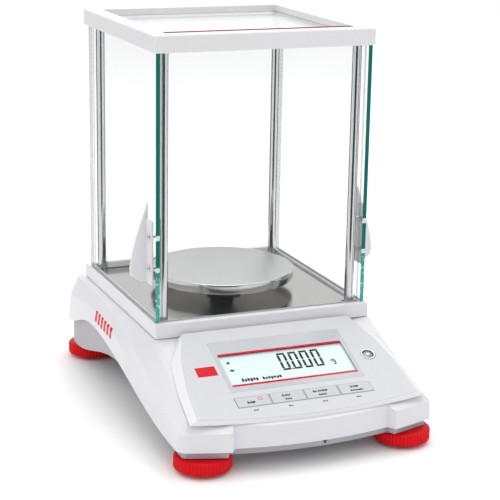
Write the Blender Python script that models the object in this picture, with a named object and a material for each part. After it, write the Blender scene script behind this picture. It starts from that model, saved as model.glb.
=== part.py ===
"""Top-loading precision balance with a glass draft shield.

The frame is +Z up, with the origin on the bench under the middle of the balance.
The display end faces -Y.  Sizes are given in millimetres times MM, so the model is in metres.
"""

import math

import bmesh
import bpy
from mathutils import Vector

MM = 0.001

# Driving dimensions of the whole balance
HALF_WIDTH = 104.5 * MM
REAR_Y = 160.5 * MM
FRONT_Y = -160.0 * MM
TOP_Z = 309.0 * MM
GAP = 0.3 * MM

# Housing: the plan outline is a long arc in front, with two leg housings standing proud of it
FRONT_ARC_RADIUS = 268.0 * MM
LEG_PROUD = 7.0 * MM
LEG_INNER_X = 64.0 * MM
REAR_CORNER_RADIUS = 22.0 * MM
SHELL_WALL = 2.4 * MM
DECK_Z = 75.0 * MM
SKIRT_BOTTOM_Z = 18.5 * MM
SKIRT_TOP_Z = 35.2 * MM
LEG_TOP_Z = 32.8 * MM
REAR_BOTTOM_Z = 34.0 * MM
ARCH_TOP_Z = 52.0 * MM
ARCH_TOP_Y = 77.0 * MM
ARCH_END_Y = 138.0 * MM
LEG_REAR_Y = -135.0 * MM
RIDGE_TOP_Z = 72.5 * MM
RIDGE_TOP_Y = 73.0 * MM
RIDGE_BOTTOM_Z = 31.5 * MM

# Base casting, an arched tray inside the housing
CASTING_INSET = 4.2 * MM
CASTING_WALL = 4.3 * MM
CASTING_FLOOR = 5.0 * MM
CASTING_BOTTOM_Z = 12.6 * MM
CASTING_ARCH_Z = 38.0 * MM
CASTING_ARCH_Y = 10.0 * MM
CASTING_WALL_RISE = 8.0 * MM
CASTING_REAR_RISE = 4.0 * MM
FOOT_BOSS_RADIUS = 8.0 * MM
BOARD_BOSS_RADIUS = 3.5 * MM
BOARD_Z = 38.0 * MM
BOARD_THICK = 1.6 * MM

# Control panel: a raised sloping block on the front of the housing
PANEL_TOP = Vector((0.0, -60.0 * MM, 79.75 * MM))
PANEL_SLOPE = math.atan(0.4237)
PANEL_REAR_HALF = 70.6 * MM
PANEL_FRONT_HALF = 89.4 * MM
PANEL_SIDE_LENGTH = 95.0 * MM
PANEL_FRONT_BULGE = 8.0 * MM
PANEL_BEVEL = 3.4 * MM
PANEL_REAR_DEPTH = 5.0 * MM
PANEL_FRONT_DEPTH = 3.0 * MM
SURROUND_SLOPE = 0.398

# Display and keys, measured down the slope from the panel's top edge
WINDOW_HALF = 55.0 * MM
WINDOW_TOP = 15.5 * MM
WINDOW_BOTTOM = 71.5 * MM
WINDOW_THICK = 1.0 * MM
GLASS_HALF = 52.3 * MM
GLASS_TOP = 29.0 * MM
GLASS_BOTTOM = 67.0 * MM
KEY_PITCH = 28.1 * MM
KEY_WIDTH = 26.8 * MM
KEY_LENGTH = 10.4 * MM
KEY_CENTRE = 83.2 * MM
KEY_PROUD = 0.5 * MM
KEY_DEPTH = 7.5 * MM
KEY_CLEARANCE = 0.35 * MM
LEVEL_X = 68.3 * MM
LEVEL_DOWN = 48.3 * MM
LEVEL_RADIUS = 5.8 * MM

# Weighing chamber
CHAMBER_HALF = 91.0 * MM
CHAMBER_FRONT = -57.0 * MM
CHAMBER_REAR = 131.0 * MM
SILL_Z = 87.0 * MM
SHIELD_FLOOR_Z = 83.2 * MM
PLATE_THICK = 1.5 * MM
POST_RADIUS = 4.0 * MM
POST_X = 80.2 * MM
POST_FRONT_Y = -43.0 * MM
POST_REAR_Y = 117.0 * MM
GLASS_THICK = 3.4 * MM
PANE_HALF = 84.4 * MM
SIDE_GLASS_X = 87.6 * MM
SIDE_GLASS_FRONT = -51.8 * MM
SIDE_GLASS_REAR = 121.0 * MM
SIDE_GLASS_BOTTOM = 83.6 * MM
GLASS_TOP_Z = 298.6 * MM
FRONT_GLASS_Y = -49.9 * MM
REAR_GLASS_Y = 123.6 * MM
FRAME_FRONT = -53.4 * MM
FRAME_REAR = 129.0 * MM
FRAME_BOTTOM_Z = 295.7 * MM
RAIL_WIDTH = 12.5 * MM
TOP_GLASS_Z = 300.1 * MM
TOP_GLASS_HALF = 81.0 * MM

# Door handles
HANDLE_Y = -33.0 * MM
HANDLE_FRONT = -47.5 * MM
HANDLE_FOOT_Z = 116.0 * MM
HANDLE_PLATE_TOP_Z = 167.0 * MM
HANDLE_FIN_TOP_Z = 179.0 * MM
FIN_THICK = 3.2 * MM
SCREW_Y = -43.0 * MM
SCREW_HEIGHTS = {"lower": 129.0 * MM, "upper": 154.0 * MM}

# Weighing pan on its carrier
PAN_RADIUS = 60.0 * MM
PAN_Y = 36.0 * MM
PAN_TOP_Z = 102.0 * MM
PAN_RIM = 8.0 * MM
PAN_SHEET = 1.5 * MM
CARRIER_RADIUS = 10.0 * MM
CARRIER_Z = 87.5 * MM
LOAD_CELL_TOP_Z = 71.0 * MM

# Levelling feet
FOOT_X = 82.4 * MM
FOOT_Y = 138.4 * MM
WHEEL_RADIUS = 22.0 * MM
WHEEL_TOP_Z = 12.0 * MM
WHEEL_BOTTOM_Z = 2.3 * MM
PAD_RADIUS = 15.0 * MM
PAD_TOP_Z = 2.0 * MM
STUD_RADIUS = 4.0 * MM
STUD_HEAD_RADIUS = 7.0 * MM
STUD_TOP_Z = 27.0 * MM

# Stations that the housing's and the casting's meshes share
COLUMNS = [x * MM for x in (-90, -78, -66.5, -62.5, -42, -20, 0, 20, 42, 62.5, 66.5, 78, 90)]
ROWS = [y * MM for y in (-138, -126, -104, -80, -57.3, -30, 0, 36, 73, 100, 119, 138.5)]


def clear_scene():
    for item in list(bpy.data.objects):
        bpy.data.objects.remove(item, do_unlink=True)


def material(name, colour, roughness, metallic=0.0, alpha=1.0):
    """A Principled material, made once for each name."""
    made = bpy.data.materials.get(name)
    if made:
        return made
    made = bpy.data.materials.new(name)
    made.use_nodes = True
    shader = made.node_tree.nodes["Principled BSDF"]
    shader.inputs["Base Color"].default_value = (*colour, 1.0)
    shader.inputs["Roughness"].default_value = roughness
    shader.inputs["Metallic"].default_value = metallic
    shader.inputs["Alpha"].default_value = alpha
    made.diffuse_color = (*colour, alpha)
    return made


def housing_white():
    return material("housing_white", (0.84, 0.84, 0.86), 0.42)


def frame_white():
    return material("frame_white", (0.88, 0.88, 0.89), 0.35)


def panel_grey():
    return material("panel_grey", (0.72, 0.73, 0.75), 0.5)


def casting_grey():
    return material("casting_grey", (0.62, 0.62, 0.64), 0.5, 0.3)


def clear_glass():
    return material("clear_glass", (0.80, 0.93, 0.90), 0.05, 0.0, 0.3)


def polished_steel():
    return material("polished_steel", (0.75, 0.75, 0.76), 0.18, 1.0)


def foot_red():
    return material("foot_red", (0.80, 0.03, 0.05), 0.4)


def black_plastic():
    return material("black_plastic", (0.03, 0.03, 0.03), 0.45)


def board_green():
    return material("board_green", (0.05, 0.28, 0.14), 0.55)


def add_mesh(name, bm, surface, location=(0, 0, 0), parent=None, smooth=False):
    """Turns a bmesh into a named object; its points are relative to location."""
    mesh = bpy.data.meshes.new(name)
    bmesh.ops.recalc_face_normals(bm, faces=bm.faces)
    bm.to_mesh(mesh)
    bm.free()
    if smooth:
        mesh.shade_smooth()
        mesh.set_sharp_from_angle(angle=math.radians(35))
    mesh.materials.append(surface)
    made = bpy.data.objects.new(name, mesh)
    made.location = location
    made.parent = parent
    bpy.context.scene.collection.objects.link(made)
    return made


def block_mesh(low, high, origin=(0, 0, 0)):
    """A box between two corners, with its points relative to origin."""
    bm = bmesh.new()
    bmesh.ops.create_cube(bm, size=1.0)
    low, high, origin = Vector(low), Vector(high), Vector(origin)
    for vert in bm.verts:
        share = vert.co + Vector((0.5, 0.5, 0.5))
        vert.co = Vector(low[i] + share[i] * (high[i] - low[i]) for i in range(3)) - origin
    return bm


def block(name, low, high, surface, origin=(0, 0, 0), parent=None, bevel=0.0):
    made = add_mesh(name, block_mesh(low, high, origin), surface, origin, parent)
    if bevel:
        edge = made.modifiers.new("Bevel", "BEVEL")
        edge.width = bevel
        edge.segments = 1
    return made


def turned(name, profile, surface, location=(0, 0, 0), parent=None, sides=48):
    """A body of revolution about its own Z: profile is (radius, height), from the axis to the axis."""
    bm = bmesh.new()
    rings = []
    for radius, height in profile:
        if radius == 0.0:
            rings.append([bm.verts.new((0, 0, height))])
            continue
        angles = [2 * math.pi * step / sides for step in range(sides)]
        rings.append([bm.verts.new((radius * math.cos(a), radius * math.sin(a), height)) for a in angles])
    for lower, upper in zip(rings, rings[1:]):
        for step in range(sides):
            after = (step + 1) % sides
            corners = [lower[step % len(lower)], lower[after % len(lower)],
                       upper[after % len(upper)], upper[step % len(upper)]]
            bm.faces.new(list(dict.fromkeys(corners)))
    return add_mesh(name, bm, surface, location, parent, smooth=True)


def prism(name, outline, low, high, surface, location=(0, 0, 0), parent=None, smooth=False):
    """An outline in X and Y, extruded from low to high."""
    bm = bmesh.new()
    base = bm.faces.new([bm.verts.new((x, y, low)) for x, y in outline])
    raised = bmesh.ops.extrude_face_region(bm, geom=[base])
    moved = [item for item in raised["geom"] if isinstance(item, bmesh.types.BMVert)]
    bmesh.ops.translate(bm, verts=moved, vec=(0, 0, high - low))
    return add_mesh(name, bm, surface, location, parent, smooth)


def cut(target, cutters):
    """Takes each cutter out of the target, and hides the cutters."""
    for cutter in cutters:
        cutter.hide_render = True
        cutter.display_type = "WIRE"
        step = target.modifiers.new("Cut", "BOOLEAN")
        step.operation = "DIFFERENCE"
        step.solver = "EXACT"
        step.object = cutter


def merge(target, additions):
    """Joins each addition to the target, and hides the additions."""
    for addition in additions:
        addition.hide_render = True
        addition.display_type = "WIRE"
        step = target.modifiers.new("Join", "BOOLEAN")
        step.operation = "UNION"
        step.solver = "EXACT"
        step.object = addition


def ease(share):
    """A smooth step from 0 to 1."""
    share = min(1.0, max(0.0, share))
    return share * share * (3.0 - 2.0 * share)


def circle(radius, centre, sides=24):
    return [(centre[0] + radius * math.cos(2 * math.pi * step / sides),
             centre[1] + radius * math.sin(2 * math.pi * step / sides)) for step in range(sides)]


# ---- The housing's outline and heights ----

def front_line(x):
    """The front arc's Y at x: the skirt between the legs, and the legs in front of it."""
    proud = LEG_PROUD if abs(x) > LEG_INNER_X else 0.0
    return FRONT_Y - proud + x * x / (2 * FRONT_ARC_RADIUS)


def base_outline():
    """The outline's corner points, anticlockwise from the front left, and the kind of each."""
    points = [(x, front_line(x), "front") for x in COLUMNS]
    corner = [(101.0 * MM, front_line(101.0 * MM)), (104.2 * MM, -143.5 * MM)]
    points += [(x, y, "corner") for x, y in corner]
    points += [(HALF_WIDTH, y, "side") for y in ROWS]
    centre_x = HALF_WIDTH - REAR_CORNER_RADIUS
    centre_y = REAR_Y - REAR_CORNER_RADIUS
    arc = []
    for degrees in (22.5, 45.0, 67.5):
        angle = math.radians(degrees)
        arc.append((centre_x + REAR_CORNER_RADIUS * math.cos(angle),
                    centre_y + REAR_CORNER_RADIUS * math.sin(angle)))
    points += [(x, y, "rear") for x, y in arc]
    points += [(x if abs(x) < 80 * MM else math.copysign(centre_x, x), REAR_Y, "rear")
               for x in reversed(COLUMNS)]
    points += [(-x, y, "rear") for x, y in reversed(arc)]
    points += [(-HALF_WIDTH, y, "side") for y in reversed(ROWS)]
    points += [(-x, y, "corner") for x, y in reversed(corner)]
    return points


def inset_outline(inset):
    """The outline moved inwards by inset(x, y, kind), along mitred normals."""
    base = base_outline()
    moved = []
    for index, (x, y, kind) in enumerate(base):
        before = Vector(base[index - 1][:2])
        after = Vector(base[(index + 1) % len(base)][:2])
        here = Vector((x, y))
        first = (here - before).normalized()
        second = (after - here).normalized()
        normal = Vector((-first.y - second.y, first.x + second.x)).normalized()
        mitre = min(1.3, 1.0 / max(0.5, normal.dot(Vector((-first.y, first.x)))))
        place = here + normal * inset(x, y, kind) * mitre
        moved.append((place.x, place.y))
    return moved


def lower_edge(y, kind):
    """Height of the housing's lower edge: legs in front, an arch in each flank, legs at the rear."""
    if kind in ("front", "corner"):
        return SKIRT_BOTTOM_Z
    if y < ARCH_TOP_Y:
        share = (y - LEG_REAR_Y) / (ARCH_TOP_Y - LEG_REAR_Y)
        return SKIRT_BOTTOM_Z + (ARCH_TOP_Z - SKIRT_BOTTOM_Z) * ease(share)
    share = (y - ARCH_TOP_Y) / (ARCH_END_Y - ARCH_TOP_Y)
    return ARCH_TOP_Z - (ARCH_TOP_Z - REAR_BOTTOM_Z) * ease(share)


def flank_share(y):
    """0 at the top of the flank's ridge, 1 at the front leg."""
    return min(1.0, max(0.0, (RIDGE_TOP_Y - y) / (RIDGE_TOP_Y - ROWS[0])))


def ridge_height(x, y, kind):
    if kind == "front":
        return LEG_TOP_Z if abs(x) > LEG_INNER_X else SKIRT_TOP_Z
    if kind == "corner":
        return RIDGE_BOTTOM_Z
    return RIDGE_TOP_Z - (RIDGE_TOP_Z - RIDGE_BOTTOM_Z) * flank_share(y) ** 2


def ridge_inset(x, y, kind):
    if kind in ("front", "corner"):
        return 0.8 * MM
    return (9.0 - 8.2 * (1 - (1 - flank_share(y)) ** 1.6)) * MM


def middle_inset(x, y, kind):
    return 0.25 * ridge_inset(x, y, kind)


def surround_height(y):
    """Height of the slope around the control panel, and of the flat deck behind it."""
    return DECK_Z + SURROUND_SLOPE * min(0.0, y - ROWS[4])


def crease_inset(x, y, kind):
    if kind == "front":
        return 8.0 * MM if abs(x) > LEG_INNER_X else 3.0 * MM
    if kind == "corner":
        return 8.0 * MM
    if y < ROWS[4]:
        return (9.0 + 3.2 * ease((y - ROWS[0]) / (ROWS[4] - ROWS[0]))) * MM
    return 12.2 * MM


def crease_drop(x, y, kind):
    """How far the outer slope lies below the slope around the panel."""
    if kind == "front" and abs(x) < LEG_INNER_X:
        return 0.0
    return 1.5 * MM * min(1.0, max(0.0, (ROWS[4] - y) / (20.0 * MM)))


def add_ring(bm, inset, height):
    """One closed loop of vertices around the outline."""
    ring = []
    for (x, y, kind), place in zip(base_outline(), inset_outline(inset)):
        ring.append(bm.verts.new((place[0], place[1], height(x, y, kind, place[1]))))
    return ring


def join_rings(bm, first, second):
    for index in range(len(first)):
        after = (index + 1) % len(first)
        bm.faces.new((first[index], first[after], second[after], second[index]))


def fill_ring(bm, ring, height):
    """Fills a ring with a grid of the stations: quads inside, one face in each corner."""
    columns, rows = len(COLUMNS), len(ROWS)
    grid = [[bm.verts.new((x, y, height(x, y))) for y in ROWS] for x in COLUMNS]
    front = ring[:columns]
    corner = 2
    right = ring[columns + corner:columns + corner + rows]
    start = columns + corner + rows
    arc = 3
    rear = list(reversed(ring[start + arc:start + arc + columns]))
    left_start = start + 2 * arc + columns
    left = list(reversed(ring[left_start:left_start + rows]))
    for i in range(columns - 1):
        bm.faces.new((front[i], front[i + 1], grid[i + 1][0], grid[i][0]))
        bm.faces.new((grid[i][-1], grid[i + 1][-1], rear[i + 1], rear[i]))
        for j in range(rows - 1):
            bm.faces.new((grid[i][j], grid[i + 1][j], grid[i + 1][j + 1], grid[i][j + 1]))
    for j in range(rows - 1):
        bm.faces.new((grid[-1][j], right[j], right[j + 1], grid[-1][j + 1]))
        bm.faces.new((left[j], grid[0][j], grid[0][j + 1], left[j + 1]))
    bm.faces.new([grid[-1][0]] + ring[columns - 1:columns + corner + 1])
    bm.faces.new([grid[-1][-1]] + ring[start - 1:start + arc + 1])
    bm.faces.new([grid[0][-1]] + ring[start + arc + columns - 1:left_start + 1])
    bm.faces.new([grid[0][0]] + ring[left_start + rows - 1:] + [ring[0]])


# ---- Static pieces of the base ----

def casting_height(y):
    """Height of the casting's arched underside."""
    if y < CASTING_ARCH_Y:
        share = (y - LEG_REAR_Y) / (CASTING_ARCH_Y - LEG_REAR_Y)
    else:
        share = (-LEG_REAR_Y - y) / (-LEG_REAR_Y - CASTING_ARCH_Y)
    return CASTING_BOTTOM_Z + (CASTING_ARCH_Z - CASTING_BOTTOM_Z) * ease(share)


def make_base_casting():
    """Arched aluminium tray: floor, wall, a boss for each foot and four bosses for the main board."""
    bm = bmesh.new()

    def under(x, y, kind=None, placed=0.0):
        return casting_height(y)

    def wall_top(x, y, kind, placed):
        return lower_edge(y, kind) + (CASTING_REAR_RISE if kind == "rear" else CASTING_WALL_RISE)

    def floor(x, y, kind=None, placed=0.0):
        return casting_height(y) + CASTING_FLOOR

    inner = CASTING_INSET + CASTING_WALL
    rings = [add_ring(bm, lambda x, y, kind: inner + GAP, under),
             add_ring(bm, lambda x, y, kind: CASTING_INSET, under),
             add_ring(bm, lambda x, y, kind: CASTING_INSET, wall_top),
             add_ring(bm, lambda x, y, kind: inner, wall_top),
             add_ring(bm, lambda x, y, kind: inner + GAP, floor)]
    for first, second in zip(rings, rings[1:]):
        join_rings(bm, first, second)
    fill_ring(bm, rings[0], under)
    fill_ring(bm, rings[-1], floor)
    casting = add_mesh("base_casting", bm, casting_grey())
    bosses = []
    for side in (-1, 1):
        for index, y in enumerate((102.0 * MM, 143.0 * MM)):
            boss = prism(f"board_boss_{side}_{index}", circle(BOARD_BOSS_RADIUS, (side * 62.0 * MM, y), 12),
                         casting_height(y) + 2.0 * MM, BOARD_Z - GAP, casting_grey())
            bosses.append(boss)
        for index, y in enumerate((-FOOT_Y, FOOT_Y)):
            boss = prism(f"foot_boss_{side}_{index}", circle(FOOT_BOSS_RADIUS, (side * FOOT_X, y), 16),
                         CASTING_BOTTOM_Z + 1.0 * MM, STUD_TOP_Z - 2.0 * MM, casting_grey())
            bosses.append(boss)
    merge(casting, bosses)
    holes = []
    for side in (-1, 1):
        for index, y in enumerate((-FOOT_Y, FOOT_Y)):
            hole = prism(f"stud_hole_{side}_{index}", circle(STUD_RADIUS + 2 * GAP, (side * FOOT_X, y), 24),
                         5.0 * MM, STUD_TOP_Z + 5.0 * MM, casting_grey())
            holes.append(hole)
    cut(casting, holes)


def make_top_housing():
    """Moulded upper shell: flanks, skirt, legs, deck and the slope under the control panel."""
    bm = bmesh.new()
    rings = [
        add_ring(bm, lambda x, y, kind: 0.0,
                 lambda x, y, kind, placed: lower_edge(y, kind)),
        add_ring(bm, middle_inset,
                 lambda x, y, kind, placed: lower_edge(y, kind)
                 + 0.6 * (ridge_height(x, y, kind) - lower_edge(y, kind))),
        add_ring(bm, ridge_inset,
                 lambda x, y, kind, placed: ridge_height(x, y, kind)),
        add_ring(bm, crease_inset,
                 lambda x, y, kind, placed: surround_height(placed) - crease_drop(x, placed, kind)),
    ]
    for first, second in zip(rings, rings[1:]):
        join_rings(bm, first, second)
    fill_ring(bm, rings[-1], lambda x, y: surround_height(y))
    housing = add_mesh("top_housing", bm, housing_white())
    wall = housing.modifiers.new("Wall", "SOLIDIFY")
    wall.thickness = SHELL_WALL
    wall.offset = -1.0
    wall.use_even_offset = True
    panel = bpy.data.objects["panel_plane"]
    display = block("housing_display_opening", (-57 * MM, -92 * MM, -20 * MM),
                    (57 * MM, -11 * MM, 8 * MM), housing_white(), parent=panel)
    level = prism("housing_level_opening", circle(LEVEL_RADIUS + 1.2 * MM, (LEVEL_X, -LEVEL_DOWN)),
                  -20 * MM, 8 * MM, housing_white(), parent=panel)
    shaft = prism("housing_shaft_opening", circle(18.0 * MM, (0, PAN_Y)), 60 * MM, 90 * MM, housing_white())
    cutters = [display, level, shaft]
    for name, low, high in port_boxes():
        cutters.append(block(f"housing_{name}_opening", Vector(low) - Vector((0.5, 6, 0.5)) * MM,
                             Vector(high) + Vector((0.5, 6, 0.5)) * MM, housing_white()))
    cut(housing, cutters)


def port_boxes():
    """The outer boxes of the rear sockets: name, low corner, high corner."""
    base = BOARD_Z + BOARD_THICK + GAP
    return [("dc_inlet", (-60.0 * MM, 147 * MM, base), (-50.0 * MM, 159.7 * MM, base + 11.0 * MM)),
            ("serial_port", (-16.0 * MM, 147 * MM, base), (16.0 * MM, 159.7 * MM, base + 12.5 * MM)),
            ("usb_port", (36.0 * MM, 147 * MM, base), (48.0 * MM, 159.7 * MM, base + 11.0 * MM))]


def make_ports():
    """The sockets on the rear of the main board, each with its open mouth."""
    mouths = {"dc_inlet": (3.2, 3.4), "serial_port": (8.6, 4.0), "usb_port": (4.3, 3.9)}
    for name, low, high in port_boxes():
        port = block(name, low, high, black_plastic())
        middle = (Vector(low) + Vector(high)) / 2
        half_x, half_z = (value * MM for value in mouths[name])
        mouth = block(f"{name}_mouth", (middle.x - half_x, 150.0 * MM, middle.z - half_z),
                      (middle.x + half_x, 170.0 * MM, middle.z + half_z), black_plastic())
        cut(port, [mouth])


def make_inside():
    """Weighing cell, its mount, and the boards."""
    milled = material("cell_aluminium", (0.70, 0.70, 0.72), 0.35, 1.0)
    block("load_cell_mount", (-34 * MM, -20 * MM, 43.4 * MM), (34 * MM, 40 * MM, 47.3 * MM), milled)
    block("load_cell", (-30 * MM, -30 * MM, 47.6 * MM), (30 * MM, 60 * MM, LOAD_CELL_TOP_Z), milled,
          bevel=1.5 * MM)
    block("main_board", (-70 * MM, 95 * MM, BOARD_Z), (70 * MM, 148 * MM, BOARD_Z + BOARD_THICK),
          board_green())
    panel = bpy.data.objects["panel_plane"]
    block("display_board", (-60 * MM, -90 * MM, -14.0 * MM), (60 * MM, -14 * MM, -12.4 * MM),
          board_green(), parent=panel)


# ---- Control panel ----

def panel_outline(grow, grow_front):
    """The panel's outline on its own slope: straight rear edge, splayed sides, bulging front."""
    right = []
    for share in (0.0, 0.3, 0.65, 1.0):
        half = PANEL_REAR_HALF + (PANEL_FRONT_HALF - PANEL_REAR_HALF) * math.sin(share * math.pi / 2) ** 0.8
        right.append((half + grow, -1.2 * MM - share * (PANEL_SIDE_LENGTH - 1.2 * MM)))
    half = right[-1][0]
    front = []
    for step in range(1, 10):
        x = half * (1 - step / 5)
        bulge = PANEL_FRONT_BULGE * (1 - (x / half) ** 2)
        front.append((x, -PANEL_SIDE_LENGTH - grow_front - bulge))
    corner = [(half, -PANEL_SIDE_LENGTH - grow_front)]
    left = [(-x, y) for x, y in reversed(right)]
    return right[:-1] + corner + front + [(-half, corner[0][1])] + left[1:]


def panel_depth(down):
    """Thickness of the panel block, thicker at the rear."""
    share = min(1.0, down / PANEL_SIDE_LENGTH)
    return PANEL_REAR_DEPTH + (PANEL_FRONT_DEPTH - PANEL_REAR_DEPTH) * share


def key_centres():
    return [(index - 1.5) * KEY_PITCH for index in range(4)]


def make_control_panel():
    """Raised block with bevelled edges, cut for the window, the keys and the level."""
    bm = bmesh.new()
    top = [bm.verts.new((x, y, 0.0)) for x, y in panel_outline(0.0, 0.0)]
    foot = [bm.verts.new((x, y, -panel_depth(-y))) for x, y in panel_outline(PANEL_BEVEL, 2.0 * MM)]
    join_rings(bm, foot, top)
    bm.faces.new(top)
    bmesh.ops.contextual_create(bm, geom=foot)
    panel = bpy.data.objects["panel_plane"]
    body = add_mesh("control_panel", bm, panel_grey(), parent=panel)
    recess = block("window_recess", (-WINDOW_HALF - GAP, -WINDOW_BOTTOM - GAP, -WINDOW_THICK - GAP),
                   (WINDOW_HALF + GAP, -WINDOW_TOP + GAP, 5 * MM), panel_grey(), parent=panel)
    opening = block("glass_opening", (-GLASS_HALF - GAP, -GLASS_BOTTOM - GAP, -20 * MM),
                    (GLASS_HALF + GAP, -GLASS_TOP + GAP, 5 * MM), panel_grey(), parent=panel)
    level = prism("level_opening", circle(LEVEL_RADIUS + GAP, (LEVEL_X, -LEVEL_DOWN)), -20 * MM, 5 * MM,
                  panel_grey(), parent=panel)
    cutters = [recess, opening, level]
    half_x = KEY_WIDTH / 2 + KEY_CLEARANCE
    half_y = KEY_LENGTH / 2 + KEY_CLEARANCE
    for index, x in enumerate(key_centres()):
        cutters.append(block(f"key_opening_{index}", (x - half_x, -KEY_CENTRE - half_y, -20 * MM),
                             (x + half_x, -KEY_CENTRE + half_y, 5 * MM), panel_grey(), parent=panel))
    cut(body, cutters)


def make_display():
    """Clear window flush with the panel, and the display module under it."""
    panel = bpy.data.objects["panel_plane"]
    block("display_window", (-WINDOW_HALF, -WINDOW_BOTTOM, -WINDOW_THICK), (WINDOW_HALF, -WINDOW_TOP, 0.0),
          material("window_clear", (0.86, 0.90, 0.92), 0.08, 0.0, 0.4), parent=panel)
    block("lcd_module", (-GLASS_HALF, -GLASS_BOTTOM, -11.8 * MM), (GLASS_HALF, -GLASS_TOP, -1.7 * MM),
          material("lcd_pale", (0.86, 0.95, 0.96), 0.3), parent=panel)


def make_level():
    """Bubble level: a turned cup let into the panel, and its domed glass."""
    panel = bpy.data.objects["panel_plane"]
    place = (LEVEL_X, -LEVEL_DOWN, 0.0)
    turned("level_cup", [(0, -9 * MM), (LEVEL_RADIUS, -9 * MM), (LEVEL_RADIUS, 0.4 * MM),
                         (4.6 * MM, 0.4 * MM), (4.4 * MM, -4 * MM), (0, -4 * MM)],
           material("level_rim", (0.55, 0.55, 0.56), 0.3, 1.0), place, panel, sides=24)
    turned("level_glass", [(0, -3.7 * MM), (4.0 * MM, -3.7 * MM), (4.2 * MM, -0.3 * MM), (0, 0.3 * MM)],
           material("level_clear", (0.75, 0.80, 0.70), 0.05, 0.0, 0.5), place, panel, sides=24)


def make_keys():
    """Four keys in a row, each in its own slot of the panel."""
    panel = bpy.data.objects["panel_plane"]
    names = ("zero_key", "print_key", "function_key", "tare_key")
    for name, x in zip(names, key_centres()):
        centre = Vector((x, -KEY_CENTRE, 0.0))
        half = Vector((KEY_WIDTH / 2, KEY_LENGTH / 2, 0.0))
        low = centre - half - Vector((0, 0, KEY_DEPTH))
        high = centre + half + Vector((0, 0, KEY_PROUD))
        block(name, low, high, material("key_grey", (0.66, 0.67, 0.69), 0.5), centre, panel,
              bevel=0.35 * MM)


# ---- Weighing chamber ----

def make_shield_base():
    """White sill frame of the chamber, with its floor, glass grooves and the hole for the pan's shaft."""
    base = block("shield_base", (-CHAMBER_HALF, CHAMBER_FRONT, DECK_Z + GAP),
                 (CHAMBER_HALF, CHAMBER_REAR, SILL_Z), frame_white(), bevel=0.6 * MM)
    groove = GLASS_THICK / 2 + GAP
    slot_half = PANE_HALF + 0.4 * MM
    cutters = [block("floor_recess", (-slot_half, -47.6 * MM, SHIELD_FLOOR_Z),
                     (slot_half, 121.3 * MM, 100 * MM), frame_white()),
               prism("shaft_hole", circle(14.0 * MM, (0, PAN_Y)), 60 * MM, 100 * MM, frame_white())]
    for side in (-1, 1):
        middle = side * SIDE_GLASS_X
        cutters.append(block(f"sill_groove_{side}", (middle - groove, SIDE_GLASS_FRONT - GAP,
                                                     SIDE_GLASS_BOTTOM - GAP),
                             (middle + groove, 150 * MM, 100 * MM), frame_white()))
    for index, y in enumerate((FRONT_GLASS_Y, REAR_GLASS_Y)):
        cutters.append(block(f"sill_slot_{index}", (-slot_half, y - groove, SIDE_GLASS_BOTTOM - GAP),
                             (slot_half, y + groove, 100 * MM), frame_white()))
    cut(base, cutters)


def make_floor_plate():
    """Polished steel floor with corner notches for the posts and a hole for the pan's carrier."""
    plate = block("floor_plate", (-PANE_HALF, -47.2 * MM, SHIELD_FLOOR_Z + GAP),
                  (PANE_HALF, 120.9 * MM, SHIELD_FLOOR_Z + GAP + PLATE_THICK), polished_steel())
    holes = [prism("plate_shaft_hole", circle(13.0 * MM, (0, PAN_Y)), 60 * MM, 100 * MM, polished_steel())]
    reach = POST_RADIUS + 2 * GAP
    for side in (-1, 1):
        inner, outer = side * (POST_X - reach), side * 90.0 * MM
        for index, (low, high) in enumerate(((-60.0 * MM, POST_FRONT_Y + reach),
                                             (POST_REAR_Y - reach, 140.0 * MM))):
            holes.append(block(f"plate_notch_{side}_{index}", (min(inner, outer), low, 60 * MM),
                               (max(inner, outer), high, 100 * MM), polished_steel()))
    cut(plate, holes)


def make_posts():
    """Four polished posts between the sill and the top frame."""
    places = {"post_front_left": (-POST_X, POST_FRONT_Y), "post_front_right": (POST_X, POST_FRONT_Y),
              "post_rear_left": (-POST_X, POST_REAR_Y), "post_rear_right": (POST_X, POST_REAR_Y)}
    low = SHIELD_FLOOR_Z + GAP
    high = FRAME_BOTTOM_Z - GAP
    for name, (x, y) in places.items():
        turned(name, [(0, low), (POST_RADIUS, low), (POST_RADIUS, high), (0, high)], polished_steel(),
               (x, y, 0), sides=32)


def make_top_frame():
    """White top frame: side grooves for the doors, and a slot at the rear for the sliding lid."""
    frame = block("top_frame", (-CHAMBER_HALF, FRAME_FRONT, FRAME_BOTTOM_Z),
                  (CHAMBER_HALF, FRAME_REAR, TOP_Z), frame_white(), bevel=0.8 * MM)
    inner = CHAMBER_HALF - RAIL_WIDTH
    groove = GLASS_THICK / 2 + GAP
    slot_half = PANE_HALF + 0.4 * MM
    cutters = [block("lid_opening", (-inner, FRAME_FRONT + RAIL_WIDTH, 280 * MM),
                     (inner, FRAME_REAR - RAIL_WIDTH, 320 * MM), frame_white()),
               block("lid_groove", (-TOP_GLASS_HALF - GAP, FRAME_FRONT + RAIL_WIDTH - 1.0 * MM,
                                    TOP_GLASS_Z - GAP),
                     (TOP_GLASS_HALF + GAP, 150 * MM, TOP_GLASS_Z + GLASS_THICK + GAP), frame_white())]
    for side in (-1, 1):
        middle = side * SIDE_GLASS_X
        cutters.append(block(f"frame_groove_{side}", (middle - groove, SIDE_GLASS_FRONT - GAP, 280 * MM),
                             (middle + groove, 150 * MM, GLASS_TOP_Z + GAP), frame_white()))
    for index, y in enumerate((FRONT_GLASS_Y, REAR_GLASS_Y)):
        cutters.append(block(f"frame_slot_{index}", (-slot_half, y - groove, 280 * MM),
                             (slot_half, y + groove, GLASS_TOP_Z + GAP), frame_white()))
    cut(frame, cutters)


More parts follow.
